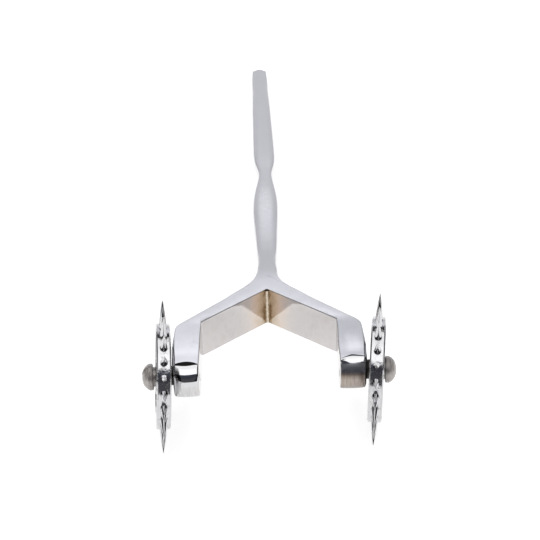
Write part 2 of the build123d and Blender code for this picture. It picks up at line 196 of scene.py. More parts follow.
# ------------------------------------------------------------------ materials
def chrome_bar():
    """hard chrome over a ground bar: polished, with faint long grinding waves and fine wiping marks"""
    m, nt, bs = new_mat("chrome_bar")
    v, mm = tool_coords(nt)
    big = noise_tex(nt, v, 0.09, 2.0)
    mid = noise_tex(nt, v, 0.55, 3.0)
    streak_v, _ = tool_coords(nt, (2.6, 0.12, 2.6))
    streak = noise_tex(nt, streak_v, 3.0, 4.0, 0.6)
    fine = noise_tex(nt, v, 9.0, 2.0)
    col = ramp(nt, big, [(0.3, (0.640, 0.640, 0.652)), (0.7, (0.668, 0.668, 0.682))])
    col = mix_col(nt, maprange(nt, streak, 0.55, 0.8, 0.0, 0.25), col, (0.60, 0.598, 0.60))
    x, y, z = sep(nt, mm)[:3]
    # bright buffed noses, satin bars, and a grip dulled by use along its middle; that strip is also painted paler as a
    # painted highlight
    r = math_n(nt, "ADD", maprange(nt, mid, 0.3, 0.7, 0.10, 0.16), maprange(nt, streak, 0.5, 0.75, 0.0, 0.05))
    nose = maprange(nt, y, 0.5, 5.0, 0.16, 1.0, smooth=True)
    r = math_n(nt, "MULTIPLY", r, nose)
    grip = math_n(nt, "MULTIPLY", maprange(nt, y, 42.0, 63.0, 0.0, 1.0, smooth=True), maprange(nt, y, 70.0, 86.0, 1.0, 0.0, smooth=True))
    dx = math_n(nt, "ABSOLUTE", math_n(nt, "SUBTRACT", x, 0.40))
    strip = maprange(nt, math_n(nt, "ADD", dx, maprange(nt, mid, 0.3, 0.7, -0.12, 0.12)), 0.3, 2.3, 1.0, 0.0, smooth=True)
    grip_wear_and_sheen = math_n(nt, "MULTIPLY", grip, strip)
    r = math_n(nt, "ADD", r, math_n(nt, "MULTIPLY", grip_wear_and_sheen, 0.16))
    nt.links.new(r, bs.inputs["Roughness"])
    # painted highlight: the grip's middle strip is painted paler, standing in for the softbox light it catches
    col = mix_col(nt, grip_wear_and_sheen, col, (0.86, 0.86, 0.875))
    # the lower nose faces are only brushed, the right one browned
    right = maprange(nt, x, 5.0, 8.0, 0.0, 1.0)
    brush_v, _ = tool_coords(nt, (3.0, 0.25, 0.25))
    brush = noise_tex(nt, brush_v, 1.6, 4.0, 0.65)
    zz = math_n(nt, "ADD", math_n(nt, "SUBTRACT", z, math_n(nt, "MULTIPLY", right, 1.1)), maprange(nt, mid, 0.3, 0.7, -0.35, 0.35))
    low = math_n(nt, "MULTIPLY", maprange(nt, zz, 1.1, -0.2, 0.0, 1.0, smooth=True), maprange(nt, y, -1.2, -2.0, 0.0, 1.0, smooth=True))
    tan_c = ramp(nt, brush, [(0.25, (0.33, 0.27, 0.23)), (0.5, (0.50, 0.425, 0.37)), (0.75, (0.62, 0.56, 0.51))])
    pale_c = ramp(nt, brush, [(0.25, (0.50, 0.49, 0.49)), (0.5, (0.60, 0.59, 0.59)), (0.75, (0.70, 0.70, 0.70))])
    col = mix_col(nt, low, col, mix_col(nt, right, pale_c, tan_c))
    r2 = math_n(nt, "ADD", math_n(nt, "MULTIPLY", low, 0.16), r)
    # the right nose is rubbed dull below its bright top, and carries a painted dark reflection band where the brown
    # begins
    rn = math_n(nt, "MULTIPLY", right, maprange(nt, y, -1.2, -2.0, 0.0, 1.0, smooth=True))
    rub = math_n(nt, "MULTIPLY", rn, maprange(nt, z, 3.35, 2.85, 0.0, 1.0, smooth=True))
    r2 = math_n(nt, "MAXIMUM", r2, math_n(nt, "MULTIPLY", rub, 0.29))
    nt.links.new(r2, bs.inputs["Roughness"])
    zs = math_n(nt, "ADD", z, maprange(nt, mid, 0.3, 0.7, -0.18, 0.18))
    # painted reflection: a dark band by height across the right nose, white above it and grey below
    painted_nose_band = ramp(nt, maprange(nt, zs, 3.0, -2.0, 0.0, 1.0), [
        (0.08, (1.0, 1.0, 1.0)), (0.16, (0.86, 0.88, 0.92)), (0.21, (0.60, 0.62, 0.68)), (0.276, (0.25, 0.26, 0.30)),
        (0.36, (0.24, 0.22, 0.21)), (0.44, (0.50, 0.49, 0.49)), (0.52, (0.62, 0.62, 0.63)), (0.62, (0.76, 0.76, 0.77)),
        (0.88, (0.75, 0.76, 0.77)), (1.0, (0.62, 0.63, 0.65))])
    col = mix_col(nt, rn, col, mix_col(nt, 1.0, col, painted_nose_band, "MULTIPLY"))
    # painted shade: its leg is painted greyer than the left one, least along the middle of its front half, where a
    # painted highlight runs
    leg = math_n(nt, "MULTIPLY", maprange(nt, x, 12.6, 13.2, 0.0, 1.0), maprange(nt, y, 13.6, 10.8, 0.0, 1.0, smooth=True))
    leg = math_n(nt, "MULTIPLY", leg, maprange(nt, y, -1.5, -0.6, 0.0, 1.0))
    mx = math_n(nt, "ABSOLUTE", math_n(nt, "SUBTRACT", x, 15.75))
    right_leg_highlight = math_n(nt, "MULTIPLY", maprange(nt, mx, 0.5, 2.0, 1.0, 0.0, smooth=True), maprange(nt, y, 8.5, 3.5, 0.0, 1.0, smooth=True))
    right_leg_highlight = math_n(nt, "MULTIPLY", right_leg_highlight, maprange(nt, y, -0.3, 0.9, 0.0, 1.0, smooth=True))
    right_leg_shade = math_n(nt, "MULTIPLY", leg, math_n(nt, "SUBTRACT", 1.0, math_n(nt, "MULTIPLY", right_leg_highlight, 0.72)))
    col = mix_col(nt, right_leg_shade, col, mix_col(nt, 1.0, col, (0.755, 0.76, 0.765), "MULTIPLY"))
    # painted reflection: the ground edges are painted darker than the faces, standing in for the dark room they
    # reflect
    edge = edge_mask(nt, 0.00022)
    edge = math_n(nt, "MULTIPLY", edge, maprange(nt, mid, 0.3, 0.7, 0.45, 1.0))
    ax = math_n(nt, "ABSOLUTE", x)
    flush = math_n(nt, "MULTIPLY", maprange(nt, ax, 6.8, 7.8, 1.0, 0.0), maprange(nt, y, 24.2, 24.8, 0.0, 1.0))
    flush = math_n(nt, "MULTIPLY", flush, maprange(nt, y, 37.0, 39.0, 1.0, 0.0))
    edge = math_n(nt, "MULTIPLY", edge, math_n(nt, "SUBTRACT", 1.0, flush))
    past = math_n(nt, "SUBTRACT", math_n(nt, "ADD", y, math_n(nt, "MULTIPLY", ax, 0.9167)), 24.0)
    crisp = math_n(nt, "MULTIPLY", maprange(nt, past, 0.9, 1.7, 0.75, 0.0), maprange(nt, y, 12.6, 13.6, 0.0, 1.0))
    edge = math_n(nt, "MULTIPLY", edge, math_n(nt, "SUBTRACT", 1.0, crisp))
    col = mix_col(nt, math_n(nt, "MULTIPLY", edge, 0.55), col, (0.33, 0.32, 0.32))
    nt.links.new(col, bs.inputs["Base Color"])
    bs.inputs["Metallic"].default_value = 1.0
    n1 = bump(nt, big, 0.12, 0.0010)
    n2 = bump(nt, streak, 0.05, 0.00006, n1)
    n3 = bump(nt, fine, 0.03, 0.00002, n2)
    nt.links.new(n3, bs.inputs["Normal"])
    return m


def chrome_inner():
    """inner faces of the fork: chrome over a coarser ground face, heat tinted round the weld"""
    m, nt, bs = new_mat("chrome_inner")
    v, mm = tool_coords(nt)
    x, y, z = sep(nt, mm)[:3]
    dx = math_n(nt, "ABSOLUTE", x)
    dy = math_n(nt, "SUBTRACT", 24.0, y)
    d = math_n(nt, "SQRT", math_n(nt, "ADD", math_n(nt, "MULTIPLY", dx, dx), math_n(nt, "MULTIPLY", dy, dy)))
    wob = noise_tex(nt, v, 0.5, 4.0, 0.6)
    d = math_n(nt, "ADD", d, maprange(nt, wob, 0.3, 0.7, -0.9, 0.9))
    grain_v, _ = tool_coords(nt, (1, 1, 0.18))
    grain = noise_tex(nt, grain_v, 5.0, 4.0, 0.65)
    cloud = noise_tex(nt, v, 0.35, 4.0, 0.6)
    base = ramp(nt, cloud, [(0.3, (0.535, 0.510, 0.508)), (0.5, (0.580, 0.555, 0.548)), (0.72, (0.550, 0.520, 0.505))])
    # heat tint: dark brown beside the bead, then straw, then the plain chrome
    tint = ramp(nt, maprange(nt, d, 0.0, 9.0, 0.0, 1.0), [
        (0.0, (0.34, 0.255, 0.165)), (0.068, (0.34, 0.255, 0.175)), (0.115, (0.50, 0.415, 0.32)),
        (0.24, (0.60, 0.51, 0.42)), (0.42, (0.665, 0.58, 0.515)), (0.65, (0.64, 0.585, 0.55)), (1.0, (0.57, 0.55, 0.54))])
    k = maprange(nt, d, 3.0, 9.0, 1.0, 0.0, smooth=True)
    col = mix_col(nt, k, base, tint)
    marks_v, _ = tool_coords(nt, (0.9, 0.9, 5.0))
    marks = noise_tex(nt, marks_v, 1.6, 5.0, 0.7)
    col = mix_col(nt, maprange(nt, marks, 0.60, 0.78, 0.0, 0.45), col, (0.46, 0.43, 0.40))
    edge = math_n(nt, "MULTIPLY", edge_mask(nt, 0.00015), maprange(nt, wob, 0.35, 0.6, 0.1, 0.5))
    col = mix_col(nt, edge, col, (0.30, 0.26, 0.22))
    nt.links.new(col, bs.inputs["Base Color"])
    bs.inputs["Metallic"].default_value = 1.0
    r = math_n(nt, "ADD", maprange(nt, grain, 0.35, 0.7, 0.05, 0.11), maprange(nt, cloud, 0.4, 0.7, 0.0, 0.03))
    nt.links.new(r, bs.inputs["Roughness"])
    n1 = bump(nt, cloud, 0.03, 0.0004)
    n2 = bump(nt, grain, 0.05, 0.00008, n1)
    nt.links.new(n2, bs.inputs["Normal"])
    return m


def mm_coords(nt, scale=(1000, 1000, 1000)):
    tc = nt.nodes.new("ShaderNodeTexCoord")
    mp = nt.nodes.new("ShaderNodeMapping")
    mp.inputs["Scale"].default_value = scale
    nt.links.new(tc.outputs["Object"], mp.inputs[0])
    return mp.outputs[0]


def chrome_wheel():
    """chrome on the wheel discs, with brown residue patches, painted shade in the corners beside the pins, and fine
    pitting
    """
    m, nt, bs = new_mat("chrome_wheel")
    v = mm_coords(nt)
    big = noise_tex(nt, v, 0.35, 3.0)
    fine = noise_tex(nt, v, 3.5, 4.0, 0.6)
    mid = noise_tex(nt, v, 1.3, 4.0, 0.6)
    col = ramp(nt, big, [(0.3, (0.58, 0.58, 0.595)), (0.7, (0.64, 0.64, 0.652))])
    col = mix_col(nt, maprange(nt, fine, 0.6, 0.8, 0.0, 0.45), col, (0.42, 0.39, 0.37))
    col = mix_col(nt, maprange(nt, mid, 0.60, 0.72, 0.0, 0.45), col, (0.36, 0.27, 0.19))
    # painted shade: the long edges and the corners at the pins are painted dark
    edge = math_n(nt, "MULTIPLY", edge_mask(nt, 0.00022), maprange(nt, mid, 0.35, 0.65, 0.35, 1.0))
    col = mix_col(nt, math_n(nt, "MULTIPLY", edge, 0.75), col, (0.17, 0.14, 0.12))
    x, y, z = sep(nt, v)[:3]
    # painted shade: round the hub, on the side toward the arm, the disc is painted near black for the shade in the gap
    hy, hz = math_n(nt, "SUBTRACT", y, -82.43), math_n(nt, "SUBTRACT", z, 14.01)
    rad = math_n(nt, "SQRT", math_n(nt, "ADD", math_n(nt, "MULTIPLY", hy, hy), math_n(nt, "MULTIPLY", hz, hz)))
    hub_gap_shade = math_n(nt, "MULTIPLY", maprange(nt, rad, 3.4, 4.4, 1.0, 0.0, smooth=True), maprange(nt, math_n(nt, "ABSOLUTE", x), 19.0, 19.5, 1.0, 0.0))
    col = mix_col(nt, math_n(nt, "MULTIPLY", hub_gap_shade, 0.92), col, (0.045, 0.038, 0.034))
    nt.links.new(col, bs.inputs["Base Color"])
    bs.inputs["Metallic"].default_value = 1.0
    patch = maprange(nt, mid, 0.52, 0.66, 0.0, 0.26)
    r = math_n(nt, "ADD", maprange(nt, fine, 0.3, 0.75, 0.05, 0.16), math_n(nt, "MULTIPLY", edge, 0.2))
    r = math_n(nt, "ADD", r, math_n(nt, "MULTIPLY", patch, 1.0))
    nt.links.new(r, bs.inputs["Roughness"])
    n1 = bump(nt, big, 0.10, 0.0004)
    n2 = bump(nt, mid, 0.16, 0.00025, n1)
    n3 = bump(nt, fine, 0.10, 0.00004, n2)
    nt.links.new(n3, bs.inputs["Normal"])
    return m


def pin_steel():
    """polished hard pins: bright flanks with grinding rings, painted darker toward the root as painted shade"""
    m, nt, bs = new_mat("pin_steel")
    v = mm_coords(nt)
    fine = noise_tex(nt, v, 4.0, 3.0, 0.6)
    mid = noise_tex(nt, v, 1.6, 3.0, 0.5)
    col = ramp(nt, fine, [(0.3, (0.60, 0.60, 0.615)), (0.7, (0.70, 0.70, 0.71))])
    col = mix_col(nt, maprange(nt, mid, 0.58, 0.72, 0.0, 0.4), col, (0.42, 0.38, 0.34))
    # painted shade: the edges and the root where each pin meets the disc are painted darker
    edge = math_n(nt, "MULTIPLY", edge_mask(nt, 0.00018, 0.97, 0.80), maprange(nt, mid, 0.3, 0.6, 0.5, 1.0))
    col = mix_col(nt, math_n(nt, "MULTIPLY", edge, 0.6), col, (0.20, 0.175, 0.15))
    nt.links.new(col, bs.inputs["Base Color"])
    bs.inputs["Metallic"].default_value = 1.0
    nt.links.new(maprange(nt, fine, 0.3, 0.75, 0.05, 0.13), bs.inputs["Roughness"])
    n1 = bump(nt, mid, 0.10, 0.00012)
    nt.links.new(bump(nt, fine, 0.10, 0.00004, n1), bs.inputs["Normal"])
    return m


def screw_steel():
    """plain turned steel: rings left by the lathe, a darker skin with rubbed edges, and the part inboard of the wheel
    painted near black as painted shade
    """
    m, nt, bs = new_mat("screw_steel")
    v = mm_coords(nt)
    cloud = noise_tex(nt, v, 1.1, 4.0, 0.6)
    fine = noise_tex(nt, v, 9.0, 3.0, 0.6)
    rings = noise_tex(nt, mm_coords(nt, (4200, 130, 130)), 1.0, 3.0, 0.6)
    col = ramp(nt, cloud, [(0.25, (0.40, 0.37, 0.352)), (0.5, (0.53, 0.50, 0.482)), (0.75, (0.64, 0.61, 0.59))])
    col = mix_col(nt, maprange(nt, rings, 0.40, 0.62, 0.45, 0.0), col, (0.27, 0.25, 0.235))
    col = mix_col(nt, maprange(nt, fine, 0.6, 0.8, 0.0, 0.5), col, (0.20, 0.175, 0.15))
    x = sep(nt, v)[0]
    # painted shade: inboard of the wheel, in the gap and on the stub past the arm, the screw is painted near black
    screw_inboard_shade = maprange(nt, math_n(nt, "ABSOLUTE", x), 18.6, 19.2, 0.88, 0.0)
    col = mix_col(nt, screw_inboard_shade, col, (0.055, 0.048, 0.042))
    edge = math_n(nt, "MULTIPLY", edge_mask(nt, 0.00018), maprange(nt, cloud, 0.35, 0.6, 0.4, 1.0))
    col = mix_col(nt, math_n(nt, "MULTIPLY", edge, 0.6), col, (0.52, 0.50, 0.475))
    nt.links.new(col, bs.inputs["Base Color"])
    bs.inputs["Metallic"].default_value = 0.66
    nt.links.new(maprange(nt, fine, 0.3, 0.7, 0.28, 0.44), bs.inputs["Roughness"])
    n1 = bump(nt, rings, 0.9, 0.00022)
    n2 = bump(nt, fine, 0.25, 0.00004, n1)
    nt.links.new(n2, bs.inputs["Normal"])
    return m


def weld_mat():
    """braze bead: straw gold on the crests, brown in the ripples"""
    m, nt, bs = new_mat("weld_bead")
    v, mm = tool_coords(nt)
    c = noise_tex(nt, v, 2.2, 4.0, 0.65)
    f = noise_tex(nt, v, 8.0, 3.0, 0.6)
    col = ramp(nt, c, [(0.3, (0.42, 0.33, 0.23)), (0.5, (0.66, 0.57, 0.46)), (0.7, (0.80, 0.74, 0.66))])
    edge = math_n(nt, "MULTIPLY", edge_mask(nt, 0.00020), maprange(nt, c, 0.35, 0.6, 0.5, 1.0))
    col = mix_col(nt, edge, col, (0.21, 0.15, 0.09))
    nt.links.new(col, bs.inputs["Base Color"])
    bs.inputs["Metallic"].default_value = 1.0
    nt.links.new(maprange(nt, c, 0.3, 0.7, 0.20, 0.38), bs.inputs["Roughness"])
    n1 = bump(nt, c, 0.4, 0.0002)
    nt.links.new(bump(nt, f, 0.3, 0.00005, n1), bs.inputs["Normal"])
    return m


def seat_steel():
    """ground seat for the wheel: ring marks worn by the hub, painted dark as the shade in the gap between wheel and
    arm
    """
    m, nt, bs = new_mat("wheel_seat")
    v, mm = tool_coords(nt)
    x, y, z = sep(nt, mm)[:3]
    rad = math_n(nt, "SQRT", math_n(nt, "ADD", math_n(nt, "MULTIPLY", y, y), math_n(nt, "MULTIPLY", z, z)))
    cloud = noise_tex(nt, v, 0.9, 4.0, 0.6)
    rub = math_n(nt, "SINE", math_n(nt, "MULTIPLY", rad, 26.0))
    # painted shade: the seat is painted near black for the shade between wheel and arm
    col = ramp(nt, cloud, [(0.3, (0.045, 0.040, 0.038)), (0.55, (0.09, 0.08, 0.072)), (0.75, (0.20, 0.18, 0.16))])
    edge = math_n(nt, "MULTIPLY", edge_mask(nt, 0.0002), maprange(nt, cloud, 0.35, 0.6, 0.2, 0.8))
    col = mix_col(nt, math_n(nt, "MULTIPLY", edge, 0.5), col, (0.30, 0.27, 0.24))
    nt.links.new(col, bs.inputs["Base Color"])
    bs.inputs["Metallic"].default_value = 1.0
    nt.links.new(maprange(nt, cloud, 0.3, 0.7, 0.28, 0.45), bs.inputs["Roughness"])
    n1 = bump(nt, rub, 0.12, 0.00003)
    nt.links.new(bump(nt, cloud, 0.2, 0.0001, n1), bs.inputs["Normal"])
    return m


M_SEAT = seat_steel()
M_BAR, M_INNER, M_WHEEL = chrome_bar(), chrome_inner(), chrome_wheel()
M_PIN, M_SCREW, M_WELD = pin_steel(), screw_steel(), weld_mat()


# ------------------------------------------------------------------ fork and handle, numbers of the CAD
ARM_IN_X, ARM_OUT_X = 13.20, 17.90
IN_CORNER_Y, OUT_CORNER_Y = 11.90, 11.10
IN_APEX_Y, OUT_APEX_Y = 24.00, 29.80
BULGE = (18.11, 3.70)
TIP_X, END_R, ARM_HALF = 17.58, 3.82, 4.05
END_SHAPE = {-1: (-1.85, 3.00, 0.0), 1: (-0.65, 2.25, 41.0)}
NOSE_CROWN = {-1: 0.17, 1: 0.09}
CORNER_IN = {-1: 12.90, 1: 13.20}
SLOPE = (OUT_APEX_Y - OUT_CORNER_Y) / ARM_OUT_X
HANDLE = [
    (36.0, 1.92, 3.08), (41.0, 2.10, 2.84), (47.0, 2.36, 2.56), (54.0, 2.62, 2.27),
    (61.5, 2.93, 2.04), (68.5, 3.08, 1.92), (74.0, 2.97, 1.85), (79.0, 2.60, 1.76),
    (84.0, 2.06, 1.66), (88.5, 1.72, 1.62), (92.5, 2.08, 1.68), (96.5, 2.64, 1.78),
    (101.0, 2.90, 1.84), (108.0, 2.94, 1.84), (122.0, 2.86, 1.84), (138.0, 2.77, 1.84),
    (155.0, 2.62, 1.84), (168.0, 2.42, 1.80), (179.0, 2.15, 1.78),
]
BOW = [
    (22.2, 0.0), (26.5, 0.12), (36.0, 0.27), (47.0, 0.36), (61.5, 0.38), (68.5, 0.43),
    (74.0, 0.51), (79.0, 0.57), (84.0, 0.65), (88.5, 0.71), (92.5, 0.70),
    (96.5, 0.66), (101.0, 0.62), (108.0, 0.57), (122.0, 0.48), (138.0, 0.37),
    (155.0, 0.28), (168.0, 0.21), (179.0, 0.18),
]
NECK = [(22.2, 7.45), (23.2, 6.35), (25.0, 4.95), (26.6, 3.80), (28.0, 3.02), (29.4, 2.54),
        (31.0, 2.26), (33.0, 2.08), (36.0, 1.92)]
E_R = 0.30      # softened long edges of the bars


def hermite(tab, x, col=1):
    xs = [r[0] for r in tab]
    ys = [r[col] for r in tab]
    if x <= xs[0]:
        return ys[0]
    if x >= xs[-1]:
        return ys[-1]
    i = min(max(int(np.searchsorted(xs, x)) - 1, 0), len(xs) - 2)
    h = xs[i + 1] - xs[i]
    t = (x - xs[i]) / h

    def m(k):
        if k == 0:
            return (ys[1] - ys[0]) / (xs[1] - xs[0])
        if k == len(xs) - 1:
            return (ys[-1] - ys[-2]) / (xs[-1] - xs[-2])
        return (ys[k + 1] - ys[k - 1]) / (xs[k + 1] - xs[k - 1])

    return ((2 * t**3 - 3 * t**2 + 1) * ys[i] + (t**3 - 2 * t**2 + t) * m(i) * h
            + (-2 * t**3 + 3 * t**2) * ys[i + 1] + (t**3 - t**2) * m(i + 1) * h)


def smooth(t):
    t = min(1.0, max(0.0, t))
    return t * t * (3 - 2 * t)


def bar_h(y):
    return ARM_HALF - (31.0 - y) * (ARM_HALF - END_R) / 31.0


def bend(a, c, b, r, n):
    """points round the corner c"""
    a, c, b = Vector(a), Vector(c), Vector(b)
    s, e = c + (a - c).normalized() * r, c + (b - c).normalized() * r
    out = []
    for i in range(n):
        t = i / (n - 1)
        out.append(tuple(s * (1 - t) ** 2 + c * (2 * t * (1 - t)) + e * t * t))
    return out


def end_profile(s):
    """(y, z, ny, nz) from the flat top forward and down to the middle of the nose, then to the flat underside"""
    y0, r1, split = END_SHAPE[s]
    h = bar_h(y0)
    sp = math.radians(split)
    r2 = (2 * h - r1 * (1 - math.sin(sp))) / (1 + math.sin(sp))
    c1 = (y0, h - r1)
    join = (c1[0] - r1 * math.cos(sp), c1[1] + r1 * math.sin(sp))
    c2 = (join[0] + r2 * math.cos(sp), join[1] - r2 * math.sin(sp))
    pts = []
    top = [90 - 6 * k for k in range(int((90 - split) / 6) + 1)]
    if top[-1] > split + 0.5:
        top.append(split)
    for a in top:
        r = math.radians(a)
        pts.append((c1[0] - r1 * math.cos(r), c1[1] + r1 * math.sin(r), -math.cos(r), math.sin(r)))
    n2 = int((split + 90) / 6)
    for k in range(1, n2 + 1):
        a = split - (split + 90) * k / n2
        r = math.radians(a)
        pts.append((c2[0] - r2 * math.cos(r), c2[1] + r2 * math.sin(r), -math.cos(r), math.sin(r)))
    return pts, c2[0]


def leg_out(y):
    """outer face of the leg in plan: ground seat for the wheel in front, then a long soft turn to the bend"""
    if y <= BULGE[1]:
        return TIP_X + (y + END_R) * math.tan(TOE)
    x = BULGE[0] + (ARM_OUT_X - BULGE[0]) * (y - BULGE[1]) / (OUT_CORNER_Y - BULGE[1])
    return x - 0.03 * math.exp(-((y - BULGE[1]) / 1.3) ** 2)


def leg_in(s, y):
    """inner face of the leg in plan, a little fuller toward the nose"""
    return CORNER_IN[s] - (0.06 * smooth((9.0 - y) / 9.0) if s < 0 else 0.36 * smooth((11.0 - y) / 9.5))


def nose_crown(s, nz):
    """fall of the nose from its middle to its edges, where its normal has the height nz"""
    a = math.degrees(math.acos(min(1.0, nz)))
    return 0.045 + (NOSE_CROWN[s] - 0.045) * smooth(a / 45.0) + (0.24 * smooth((a - 42.0) / 30.0) if s < 0 else 0.0)


def edge_row(w, r, n_mid, r_out=None):
    """distance across and depth for a row that is flat in the middle and rounded at both ends"""
    steps = 5

    def end(q):
        q = max(q, 0.002)
        pts = []
        for k in range(steps + 1):
            a = math.radians(90 * k / steps)
            pts.append((q - q * math.cos(a), q - q * math.sin(a)))
        return pts

    one, two = end(r), end(r if r_out is None else r_out)
    lead = min(0.10, w * 0.06)
    a, b = one[-1][0] + lead, w - two[-1][0] - lead
    mid = [(a + (b - a) * k / n_mid, 0.0) for k in range(n_mid + 1)]
    return one + mid + [(w - d, e) for d, e in reversed(two)]


def quads(faces, a, b, flip=False):
    """strip between two equal rows"""
    for k in range(len(a) - 1):
        f = (a[k], a[k + 1], b[k + 1], b[k])
        faces.append(f[::-1] if flip else f)


def polish(x, y, z, amp):
    """slow unevenness left by hand polishing"""
    p = Vector((x * 0.16, y * 0.10, z * 0.16))
    return amp * noise.noise(p + Vector((3.1, 7.7, 1.3)))


def nose_late(s, u, a):
    """how much further forward the flat top runs at u across the arm (0 inner edge, 1 outer), at a degrees round the nose"""
    if s < 0:
        return (-0.70 + 1.15 * (2 * u - 1) ** 2) * max(0.0, 1 - a / 19.0)
    return (1.25 * max(0.0, (0.42 - u) / 0.42) + 0.62 * max(0.0, (u - 0.50) / 0.50)) * max(0.0, 1 - a / 52.0) ** 1.1


def fork_top(y):
    """height of the fork's top face, which runs on into the neck"""
    t = smooth((y - 28.0) / 16.0)
    leg = smooth((15.0 - y) / 6.0) * smooth((y + 1.0) / 2.0)
    return bar_h(min(y, 31.0)) * (1 - t) + (3.08 + (36.0 - y) * 0.030) * t - 0.0013 * (y - 6.5) ** 2 * leg


def make_arm(s):
    """one side of the fork, from the nose round the bend to the middle of the fork, as one closed skin"""
    verts, faces = [], []
    N_MID, NZ = 9, 9

    def put(x, y, z):
        verts.append((s * x, y, z))
        return len(verts) - 1

    prof, y_foot = end_profile(s)
    # plan stations of inner and outer edge, from the middle of the fork forward
    cx = CORNER_IN[s]
    in_c = bend((0.0, IN_APEX_Y), (cx, IN_APEX_Y - cx * (IN_APEX_Y - IN_CORNER_Y) / ARM_IN_X), (cx, 0.0), 0.35, 7)
    out_c = bend((0.0, OUT_APEX_Y), (ARM_OUT_X, OUT_CORNER_Y), (BULGE[0], BULGE[1]), 1.25, 7)
    inner, outer = [], []
    n_v = 22
    for k in range(n_v):
        t = k / n_v
        inner.append((in_c[0][0] * t, IN_APEX_Y + (in_c[0][1] - IN_APEX_Y) * t))
        outer.append((out_c[0][0] * t, OUT_APEX_Y + (out_c[0][1] - OUT_APEX_Y) * t))
    inner += in_c
    outer += out_c
    y_top0 = max(prof[0][0], y_foot) + 0.25
    n_l = 12
    yi, yo = in_c[-1][1], out_c[-1][1]
    for k in range(1, n_l + 1):
        t = k / n_l
        y = yi + (y_top0 - yi) * t
        inner.append((leg_in(s, y), y))
        y = yo + (y_top0 - yo) * t
        outer.append((leg_out(y), y))

    loops = []

    def loop(pi, po, zt, nt, zb, nb, yt=None, yb=None, r=E_R, crown=0.0, amp=0.0, r_out=E_R, open_out=1.0):
        """closed loop of one station"""
        w = math.hypot(po[0] - pi[0], po[1] - pi[1])
        row = edge_row(w, r, N_MID, r_out)
        ux, uy = (po[0] - pi[0]) / w, (po[1] - pi[1]) / w
        top, bot = [], []
        late = 0.0
        for d, e in row:
            q = 2 * d / w - 1
            e2 = e + crown * q * q * (1.0 if q < 0 else open_out)
            x, y = pi[0] + ux * d, pi[1] + uy * d
            if yt is None:
                zt = fork_top(y)
                zb = -zt
            else:
                late = nose_late(s, d / w, math.degrees(math.acos(min(1.0, nt[1]))))
            a = amp * polish(x, y, zt, 1.0)
            yy = y if yt is None else yt - late
            top.append(put(x, yy + nt[0] * -e2 * 1.0 + nt[0] * a, zt + nt[1] * -e2 + nt[1] * a))
            yy = y if yb is None else yb + uy * 0
            bot.append(put(x, yy + nb[0] * -e2, zb + nb[1] * -e2))
        # sides between the first and last points of the rows
        def side(i_top, i_bot):
            a, b = Vector(verts[i_top]), Vector(verts[i_bot])
            ids = []
            for k in range(1, NZ):
                p = a.lerp(b, k / NZ)
                verts.append(tuple(p))
                ids.append(len(verts) - 1)
            return ids
        outer_side = side(top[-1], bot[-1])
        inner_side = side(top[0], bot[0])
        return top + outer_side + bot[::-1] + inner_side[::-1], top, bot, outer_side, inner_side

    for k, (pi, po) in enumerate(zip(inner, outer)):
        ym = (pi[1] + po[1]) / 2
        h = bar_h(ym)
        leg = smooth((15.0 - ym) / 8.0)
        open_x = smooth((po[0] - 6.5) / 2.2)       # the neck runs on from the outer edge below this
        r_side = E_R + 0.26 * smooth((9.0 - po[1]) / 6.0)      # the outer edge is rounded off more toward the nose
        r_in = 0.10 + (E_R - 0.10) * smooth((13.5 - pi[1]) / 4.0)   # the inner edge is crisp along the V
        loops.append(loop(pi, po, h, (0, 1), -h, (0, -1), r=r_in, crown=0.033 + 0.012 * leg, amp=0.05 * leg,
                          r_out=r_side * open_x, open_out=open_x))
    # nose: the upper and the lower curve run together to the front
    half = len(prof) // 2
    top_c = [(prof[0][0] + 0.12, prof[0][1], 0.0, 1.0)] + prof[:half + 1]
    low_c = [(prof[-1][0] + 0.12, prof[-1][1], 0.0, -1.0)] + prof[half:][::-1]
    n = min(len(top_c), len(low_c))

    def resample(c, m):
        out = []
        for k in range(m):
            t = k * (len(c) - 1) / (m - 1)
            i = min(int(t), len(c) - 2)
            f = t - i
            v = [c[i][q] * (1 - f) + c[i + 1][q] * f for q in range(4)]
            l = math.hypot(v[2], v[3])
            out.append((v[0], v[1], v[2] / l, v[3] / l))
        return out

    m = 15
    # stop short of the tip of the nose so that a few rows are left for its face
    tc = resample(top_c, m + 3)[:m]
    lc = resample(low_c, m + 3)[:m]
    for k in range(m):
        yt, zt, n1, n2 = tc[k]
        yb, zb, m1, m2 = lc[k]
        x1, x2 = leg_out(yt), leg_out(yb)
        w = 0.5 * (x1 + x2)
        loops.append(loop((leg_in(s, yt), yt), (x1, yt), zt, (n1, n2), zb, (m1, m2), yt=yt, yb=yb,
                          crown=nose_crown(s, n2), amp=0.05, r_out=E_R + 0.26))
    for a, b in zip(loops, loops[1:]):
        la, lb = a[0] + [a[0][0]], b[0] + [b[0][0]]
        quads(faces, la, lb, flip=(s < 0))
    # face of the nose: rows across between the last upper and lower rows
    rest = resample(top_c, m + 3)[m:] + resample(low_c, m + 3)[m:][::-1]
    last = loops[-1]
    top, bot, o_side, i_side = last[1], last[2], last[3], last[4]
